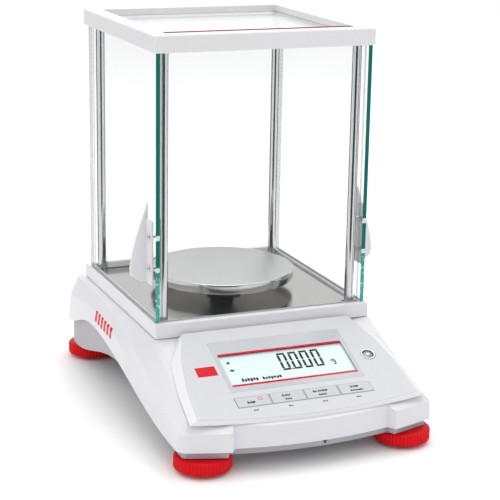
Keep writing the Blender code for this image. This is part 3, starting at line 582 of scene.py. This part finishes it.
liquid = level_glass.mix(bubble_off.under(bubble_radius), liquid, (0.50, 0.53, 0.51))
level_glass.set({"Base Color": liquid, "Roughness": level_glass.noise(300.0) * 0.05 + 0.05})
for piece, slot, finish, node in ((cup, "level_rim", level_metal, "level_cup"),
                                  (dome, "level_clear", level_glass, "level_glass")):
    piece.data.transform(level_place)
    rounded(piece, 0.2 * MM)
    placed(piece, "base", slot, finish, node)


# ---- Keys ----
# Four flat keys in one row: pale grey moulded caps with rounded edges on short-travel switches.
# Each has plain printed marks, and the first also the red ring of an on and off key.

key_cap = moulded("key_cap", (0.57, 0.575, 0.60), 0.48, grain=2600.0, depth=0.05)
key_face = 0.5 * MM
key_marks = {
    "zero_key": blocks(-44.0, 84.4, 6.8, 2.5),
    "print_key": blocks(-15.0, 81.7, 6.8, 2.3) + blocks(-14.4, 85.7, 5.4, 1.8),
    "function_key": blocks(13.0, 81.7, 12.0, 2.3) + blocks(13.8, 85.7, 6.8, 1.8),
    "tare_key": blocks(41.6, 81.7, 6.8, 2.3) + blocks(42.2, 85.7, 11.0, 1.8),
}
for key, marks in key_marks.items():
    placed(rounded(copied(key, f"{key}_cap"), 0.25 * MM, 3), key, "key_grey", key_cap, key)
    placed(printed(f"{key}_print", marks, key_face), key, "key_grey", ink_black)
power_ring = ring(-36.0, 81.6, 1.9, 0.6, 35.0, 290.0) + [dash(-36.0, 80.3, 0.6, 2.0)]
placed(printed("zero_key_ring", power_ring, key_face), "zero_key", "key_grey", ink_red)


# ---- Draft shield: sill and floor ----
# A white painted sill frames the chamber's floor and holds the panes in its grooves.
# The floor is a loose plate of polished stainless steel.

shield_white = moulded("shield_white", (0.76, 0.76, 0.785), 0.42, grain=3500.0, depth=0.015)
for node, name in (("shield_base", "shield_sill"), ("rear_rail", "shield_rear_rail")):
    placed(rounded(copied(node, name), 0.5 * MM), "base", "frame_white", shield_white, node)

floor_steel = Finish("floor_steel", {"Metallic": 1.0})
brushing = floor_steel.noise(3.0, 6.0, floor_steel.stretched((6.0, 900.0, 6.0)))
brushed_tone = floor_steel.mix(brushing, (0.47, 0.465, 0.455), (0.57, 0.565, 0.555))
floor_steel.set({"Base Color": brushed_tone, "Roughness": brushing * 0.10 + 0.09})
floor_steel.bump(brushing, 0.05, 0.1 * MM)
placed(rounded(copied("floor_plate", "chamber_floor"), 0.2 * MM, 2), "base", "floor_steel",
       floor_steel, "floor_plate")


# ---- Posts ----
# Four polished stainless rods hold the top frame over the sill. Each is turned, with chamfered
# ends in shallow collars, and is screwed on from below and above.

post_steel = Finish("post_steel", {"Metallic": 1.0})
drawing = post_steel.noise(2.0, 4.0, post_steel.stretched((500.0, 500.0, 3.0)))
post_steel.set({"Base Color": post_steel.mix(drawing, (0.60, 0.61, 0.62), (0.70, 0.71, 0.72)),
                "Roughness": drawing * 0.06 + 0.06})
post_radius, collar_proud = 3.75 * MM, 0.25 * MM
for word in ("front_left", "front_right", "rear_left", "rear_right"):
    low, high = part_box(f"post_{word}")
    foot_collar, head_collar = low.z + 3.0 * MM, high.z - 1.2 * MM
    bpy.ops.object.select_all(action="DESELECT")
    bpy.ops.mesh.primitive_cylinder_add(vertices=72, radius=post_radius, depth=high.z - low.z,
                                        location=(low + high) / 2)
    post = bpy.context.object
    post.name = f"post_rod_{word}"
    bpy.ops.object.transform_apply(location=True, rotation=True, scale=True)
    edit(post)
    for level in (foot_collar, head_collar):
        bpy.ops.mesh.select_all(action="SELECT")
        bpy.ops.mesh.bisect(plane_co=(0, 0, level), plane_no=(0, 0, 1))
    mesh = bmesh.from_edit_mesh(post.data)
    bpy.ops.mesh.select_all(action="DESELECT")
    for side in mesh.faces:
        level = side.calc_center_median().z
        side.select = abs(side.normal.z) < 0.5 and not foot_collar <= level <= head_collar
    bmesh.update_edit_mesh(post.data)
    bpy.ops.mesh.extrude_region_shrink_fatten(TRANSFORM_OT_shrink_fatten={"value": collar_proud})
    close(post)
    placed(rounded(post, 0.12 * MM, 2), "base", "post_steel", post_steel, f"post_{word}")


# ---- Panes and doors ----
# All panes are clear float glass with ground edges, which look green from the end. The front and
# rear ones are fixed. The side ones slide in grooves, and each has a white fin for a handle,
# bolted on by two screws.

clear_face = Finish("clear_face", {"Roughness": 0.02, "IOR": 1.5})
haze = clear_face.noise(14.0)
clear_face.set({"Base Color": clear_face.mix(haze, (0.12, 0.16, 0.155), (0.20, 0.24, 0.235)),
                "Alpha": haze * 0.03 + 0.03})
green_edge = Finish("green_edge", {"IOR": 1.2})
level = green_edge.axes(green_edge.places())[2]
# The green edge is painted lighter towards its foot, with painted glints at chips there and at the
# screws' heights.
foot_light = ((134.0 * MM - level) * 60.0).math("MAXIMUM", 0.0).math("MINIMUM", 1.0)
chips_and_glints = green_edge.noise(420.0, 5.0)
ground = green_edge.mix(foot_light, (0.002, 0.15, 0.11), (0.06, 0.40, 0.33))
ground = green_edge.mix(chips_and_glints.over(0.60) * foot_light, ground, (0.55, 0.80, 0.75))
screw_glints = level.between(152.5 * MM, 156.5 * MM) + level.between(127.5 * MM, 131.0 * MM)
ground = green_edge.mix(screw_glints, ground, (0.62, 0.80, 0.76))
green_edge.set({"Base Color": ground, "Roughness": chips_and_glints * 0.2 + 0.25})
pale_edge = Finish("pale_edge", {"IOR": 1.3, "Base Color": (0.34, 0.37, 0.36)})
pale_edge.set({"Alpha": pale_edge.noise(60.0) * 0.1 + 0.45,
               "Roughness": pale_edge.noise(500.0) * 0.1 + 0.2})


def pane(node, name, thin_axis, face=clear_face):
    """A glass pane: clear faces, pale ground edges, and deep green where one is seen end on."""
    made = rounded(copied(node, name), 0.35 * MM, 2)
    for finish in (face, pale_edge, green_edge):
        made.data.materials.append(finish.material)
    for polygon in made.data.polygons:
        end_on = thin_axis == 0 and polygon.normal.y < -0.5
        clear = abs(polygon.normal[thin_axis]) > 0.9 or abs(polygon.normal.z) > 0.5
        polygon.material_index = 0 if clear else 2 if end_on else 1
    return made


placed(pane("front_glass", "front_pane", 1), "base", "door_glass", clear_face, "front_glass")
placed(pane("rear_glass", "rear_pane", 1), "base", "door_glass", clear_face, "rear_glass")
screw_steel = Finish("screw_steel", {"Metallic": 0.85, "Base Color": (0.74, 0.74, 0.74)})
screw_steel.set({"Roughness": screw_steel.noise(800.0) * 0.2 + 0.3})
for word in ("left", "right"):
    body = f"{word}_door"
    placed(pane(f"{word}_door_glass", f"{word}_door_pane", 0), body, "door_glass", clear_face,
           f"{word}_door_glass")
    fin = rounded(copied(f"{word}_door_handle", f"{word}_door_fin"), 0.55 * MM, 4, 25.0)
    placed(fin, body, "frame_white", shield_white, f"{word}_door_handle")
    for end in ("lower", "upper"):
        node = f"{word}_door_screw_{end}"
        screw = copied(node, f"{word}_door_bolt_{end}")
        mesh = edit(screw, "DESELECT")
        tip = max(mesh.faces, key=lambda side: abs(side.calc_center_median().x))
        tip.select = True
        bmesh.update_edit_mesh(screw.data)
        bpy.ops.mesh.inset(thickness=0.9 * MM)
        bpy.ops.mesh.extrude_region_shrink_fatten(TRANSFORM_OT_shrink_fatten={"value": -0.9 * MM})
        close(screw)
        placed(rounded(screw, 0.15 * MM, 2), body, "screw_steel", screw_steel, node)


# ---- Top frame and lid ----
# The white top frame is open at the rear, and the glass lid slides out there. A red plastic strip
# glued along the lid's front edge is its grip.

placed(rounded(copied("top_frame", "top_frame_rails"), 0.6 * MM, 4), "base", "frame_white",
       shield_white, "top_frame")
lid_face = Finish("lid_face", {"Roughness": 0.03, "IOR": 1.5})
lid_slant = lid_face.node("ShaderNodeLayerWeight", {}, {"Blend": 0.5}, "Facing")
lid_sheen = lid_slant.math("POWER", 5.0)
lid_haze = lid_face.noise(11.0)
lid_face.set({"Base Color": lid_face.mix(lid_haze, (0.86, 0.87, 0.88), (0.93, 0.94, 0.95)),
              "Alpha": lid_sheen * 0.96 + lid_haze * 0.02 + 0.03})
placed(pane("top_door_glass", "lid_pane", 2, lid_face), "top_door", "door_glass", lid_face,
       "top_door_glass")
grip_red = moulded("grip_red", (0.22, 0.001, 0.006), 0.6, grain=1400.0, index=1.06)
grip = copied("top_door_grip", "lid_grip")
low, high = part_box("top_door_grip")
mesh = edit(grip, "DESELECT")
for axis, edge, move in ((2, high.z - 1.0 * MM, (0.0, 0.0, 1.45 * MM)),
                         (1, high.y - 1.3 * MM, (0.0, 2.5 * MM, 0.0))):
    for corner in mesh.verts:
        corner.select = corner.co[axis] > edge
    mesh.select_flush_mode()
    bmesh.update_edit_mesh(grip.data)
    bpy.ops.transform.translate(value=move)
close(grip)
placed(rounded(grip, 0.15 * MM, 2), "top_door", "grip_red", grip_red, "top_door_grip")


# ---- Weighing pan ----
# The pan is pressed from one stainless sheet, its rim turned down and polished and its top brushed.
# It rests on the black hub of the weighing cell and lifts straight off.

pan_steel = Finish("pan_steel", {"Metallic": 1.0})
pan_middle = 36.0 * MM
pan_level = pan_steel.axes(pan_steel.places())[2]
pan_place = pan_steel.node("ShaderNodeMapping", {}, {"Vector": pan_steel.places(),
                                                     "Location": (0.0, -pan_middle, 0.0)})
flat_place = pan_steel.node("ShaderNodeVectorMath", {"operation": "MULTIPLY"},
                            {0: pan_place, 1: (1.0, 1.0, 0.0)})
radius = pan_steel.node("ShaderNodeVectorMath", {"operation": "LENGTH"}, {0: flat_place}, "Value")
rim = radius.over(58.9 * MM)
# Painted light: the pan's underside and the rim's inner face get a lighter, warmer tone than the
# brushed top.
underside_painted_light = pan_level.under(100.8 * MM) * (1.0 - radius.over(59.2 * MM))
brush = pan_steel.noise(2.0, 5.0, pan_steel.stretched((700.0, 8.0, 8.0)))
scuff = pan_steel.noise(45.0, 6.0)
tone = pan_steel.mix(scuff, (0.55, 0.55, 0.555), (0.61, 0.61, 0.615))
tone = pan_steel.mix(rim, tone, (0.62, 0.62, 0.62))
tone = pan_steel.mix(underside_painted_light, tone, (0.80, 0.74, 0.68))
pan_steel.set({"Base Color": tone, "Roughness": brush * 0.16 + 0.30 - rim * 0.20})
pan_steel.bump(brush, 0.06, 0.1 * MM)
pan_profile = in_mm((0, 102.0), (59.0, 102.0), (59.45, 101.9), (59.8, 101.65), (59.95, 101.3),
                    (60.0, 100.8), (60.0, 94.6), (59.8, 94.1), (59.2, 94.0), (58.6, 94.3),
                    (58.5, 99.3), (58.2, 100.1), (57.4, 100.5), (0, 100.5))
pan = lathe("pan_plate", pan_profile, 144, (0.0, pan_middle, 0.0))
only(pan)
bpy.ops.object.shade_smooth_by_angle(angle=math.radians(32))
placed(pan, "weighing_pan", "pan_steel", pan_steel, "weighing_pan")

hub_black = moulded("hub_black", (0.010, 0.010, 0.011), 0.5, grain=900.0, depth=0.3)
placed(rounded(copied("pan_carrier", "pan_hub"), 0.5 * MM), "base", "carrier_black", hub_black,
       "pan_carrier")


# ---- Levelling feet ----
# Each foot is a red moulded wheel with fine ribs round its rim, pressed on a steel stud that
# screws into the casting. The stud turns on a rubber pad, which stands still on the bench.

wheel_red = moulded("wheel_red", (0.70, 0.004, 0.011), 0.42, grain=1300.0, depth=0.05, index=1.22)
pad_rubber = moulded("pad_rubber", (0.012, 0.012, 0.012), 0.75, grain=600.0, depth=0.4)
rib_count, points_per_rib, rib_depth = 46, 6, 0.95 * MM
wheel_low, wheel_high, wheel_reach = 2.3 * MM, 12.0 * MM, 22.0 * MM
shoulder_steps = in_mm((21.1, 0.45), (20.4, 0.0), (8.0, 0.0), (7.3, 0.6))


def ribbed_wheel(name, place):
    """A cylinder's side pushed into ribs, with plain turned shoulders above and below them."""
    middle = Vector((place[0], place[1]))

    def pushed(corner, reach):
        """Where a corner stands when it is moved to a given distance from the wheel's axis."""
        side = (corner.co.xy - middle).normalized() * reach
        return middle.x + side.x, middle.y + side.y

    def cap_rank(side, end):
        """Ranks the faces: the wide cap at the given end of the wheel ranks highest."""
        return end * side.calc_center_median().z + 10 * (len(side.verts) > 9)

    bpy.ops.object.select_all(action="DESELECT")
    bpy.ops.mesh.primitive_cylinder_add(vertices=rib_count * points_per_rib, radius=wheel_reach,
                                        depth=wheel_high - wheel_low - 2.0 * MM,
                                        location=(*middle, (wheel_low + wheel_high) / 2))
    wheel = bpy.context.object
    wheel.name = name
    bpy.ops.object.transform_apply(location=True, rotation=True, scale=True)
    mesh = edit(wheel)
    for corner in mesh.verts:
        turn = math.atan2(corner.co.y - middle.y, corner.co.x - middle.x)
        wave = 0.5 + 0.5 * math.cos(turn * rib_count)
        corner.co.xy = pushed(corner, wheel_reach - rib_depth * (1.0 - wave ** 0.6))
    bmesh.update_edit_mesh(wheel.data)
    for end, end_level in ((1.0, wheel_high), (-1.0, wheel_low)):
        for reach, below in shoulder_steps:
            bpy.ops.mesh.select_all(action="DESELECT")
            max(mesh.faces, key=lambda side: cap_rank(side, end)).select = True
            bmesh.update_edit_mesh(wheel.data)
            bpy.ops.mesh.inset(thickness=0.05 * MM)
            mesh = bmesh.from_edit_mesh(wheel.data)
            for corner in [corner for corner in mesh.verts if corner.select]:
                corner.co = (*pushed(corner, reach), end_level - end * below)
            bmesh.update_edit_mesh(wheel.data)
    close(wheel)
    only(wheel)
    bpy.ops.object.shade_smooth_by_angle(angle=math.radians(40))
    return wheel


first_low, first_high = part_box("foot_wheel_front_left")
first_place = (first_low + first_high) / 2
pattern_wheel = ribbed_wheel("wheel_front_left", first_place)
for word in ("front_left", "front_right", "rear_left", "rear_right"):
    low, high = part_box(f"foot_wheel_{word}")
    place = (low + high) / 2
    if word == "front_left":
        wheel = pattern_wheel
    else:
        wheel = bpy.data.objects.new(f"wheel_{word}", pattern_wheel.data.copy())
        wheel.data.materials.clear()
        bpy.context.scene.collection.objects.link(wheel)
        step = Vector((place.x - first_place.x, place.y - first_place.y, 0.0))
        wheel.data.transform(Matrix.Translation(step))
    placed(wheel, f"foot_{word}", "wheel_red", wheel_red, f"foot_wheel_{word}")
    stud = rounded(copied(f"foot_stud_{word}", f"stud_{word}"), 0.4 * MM)
    placed(stud, f"foot_{word}", "screw_steel", screw_steel, f"foot_stud_{word}")
    pad_profile = in_mm((0, 0), (14.2, 0), (15.0, 0.7), (15.0, 1.6), (14.6, 2.0), (0, 2.0))
    pad = lathe(f"pad_{word}", pad_profile, 72, (place.x, place.y, 0.0))
    placed(rounded(pad, 0.2 * MM, 2), f"pad_{word}", "pad_rubber", pad_rubber, f"foot_pad_{word}")


# ---- Studio ----
# A pale floor under one large soft light, with a bright room round it that is lighter above and
# behind. Three black cards stand out of the camera's sight, for the polished steel to reflect.

bpy.ops.object.select_all(action="DESELECT")
bpy.ops.mesh.primitive_plane_add(size=12.0, location=(0, 0, -0.2 * MM))
floor = bpy.context.object
floor.name = "studio_floor"
floor_paper = moulded("floor_paper", (0.965, 0.965, 0.965), 0.9, grain=60.0, depth=0.0)
floor.data.materials.append(floor_paper.material)
floor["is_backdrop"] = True


def soft_light(name, place, target, size, power):
    """A square area light, aimed at a point."""
    lamp = bpy.data.lights.new(name, "AREA")
    lamp.shape, lamp.size, lamp.energy = "SQUARE", size, power
    holder = bpy.data.objects.new(name, lamp)
    bpy.context.scene.collection.objects.link(holder)
    holder.location = place
    holder.rotation_euler = (Vector(target) - Vector(place)).to_track_quat("-Z", "Y").to_euler()


soft_light("top_light", (0.35, 0.45, 1.9), (0, 0, 0.05), 1.4, 15.0)


def dark_card(name, turn, width, far=0.46, tall=0.42):
    """A black card that stands on the floor and faces the balance."""
    aim = math.radians(turn)
    place = (far * math.cos(aim), far * math.sin(aim), tall / 2)
    bpy.ops.object.select_all(action="DESELECT")
    bpy.ops.mesh.primitive_plane_add(size=1.0, location=place,
                                     rotation=(math.radians(90), 0, aim - math.radians(90)))
    card = bpy.context.object
    card.name = name
    card.scale = (width, tall, 1.0)
    card.data.materials.append(card_black.material)
    card.visible_camera = card.visible_diffuse = card.visible_shadow = False
    card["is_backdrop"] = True


card_black = moulded("card_black", (0.03, 0.03, 0.035), 0.95, depth=0.0)
dark_card("card_front", -110.0, 0.44)
dark_card("card_right", 8.0, 0.22)
dark_card("card_left", 128.0, 0.26)

room = bpy.data.worlds.new("studio_room")
room.use_nodes = True
bpy.context.scene.world = room
tree = room.node_tree
backdrop = tree.nodes["Background"]
backdrop.inputs["Strength"].default_value = 1.0
direction = tree.nodes.new("ShaderNodeTexCoord").outputs["Generated"]
lean_light = tree.nodes.new("ShaderNodeVectorMath")
lean_light.operation = "DOT_PRODUCT"
lean_light.inputs[1].default_value = (-0.04, 0.16, 0.38)
tree.links.new(direction, lean_light.inputs[0])
even_light = tree.nodes.new("ShaderNodeMath")
even_light.inputs[1].default_value = 0.78
tree.links.new(lean_light.outputs["Value"], even_light.inputs[0])
rays = tree.nodes.new("ShaderNodeLightPath")
choice = tree.nodes.new("ShaderNodeMix")
choice.data_type = "RGBA"
tree.links.new(rays.outputs["Is Camera Ray"], choice.inputs[0])
tree.links.new(even_light.outputs[0], choice.inputs[6])
choice.inputs[7].default_value = (1.0, 1.0, 1.0, 1.0)
tree.links.new(choice.outputs[2], backdrop.inputs["Color"])

eye = bpy.data.cameras.new("camera")
camera = bpy.data.objects.new("camera", eye)
bpy.context.scene.collection.objects.link(camera)
bpy.context.scene.camera = camera
eye.sensor_width = 36.0
eye.lens = 111.1
yaw, pitch, roll = math.radians(22.667), math.radians(15.264), math.radians(1.02)
ahead = Vector((math.sin(yaw) * math.cos(pitch), math.cos(yaw) * math.cos(pitch), -math.sin(pitch)))
level_right = Vector((math.cos(yaw), -math.sin(yaw), 0.0))
level_up = level_right.cross(ahead)
right = level_right * math.cos(roll) + level_up * math.sin(roll)
upward = level_up * math.cos(roll) - level_right * math.sin(roll)
camera.matrix_world = Matrix.Translation((-0.4600, -1.1259, 0.4565)) @ Matrix(
    (right, upward, -ahead)).transposed().to_4x4()
bpy.context.scene.view_settings.view_transform = "Standard"

low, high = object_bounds()
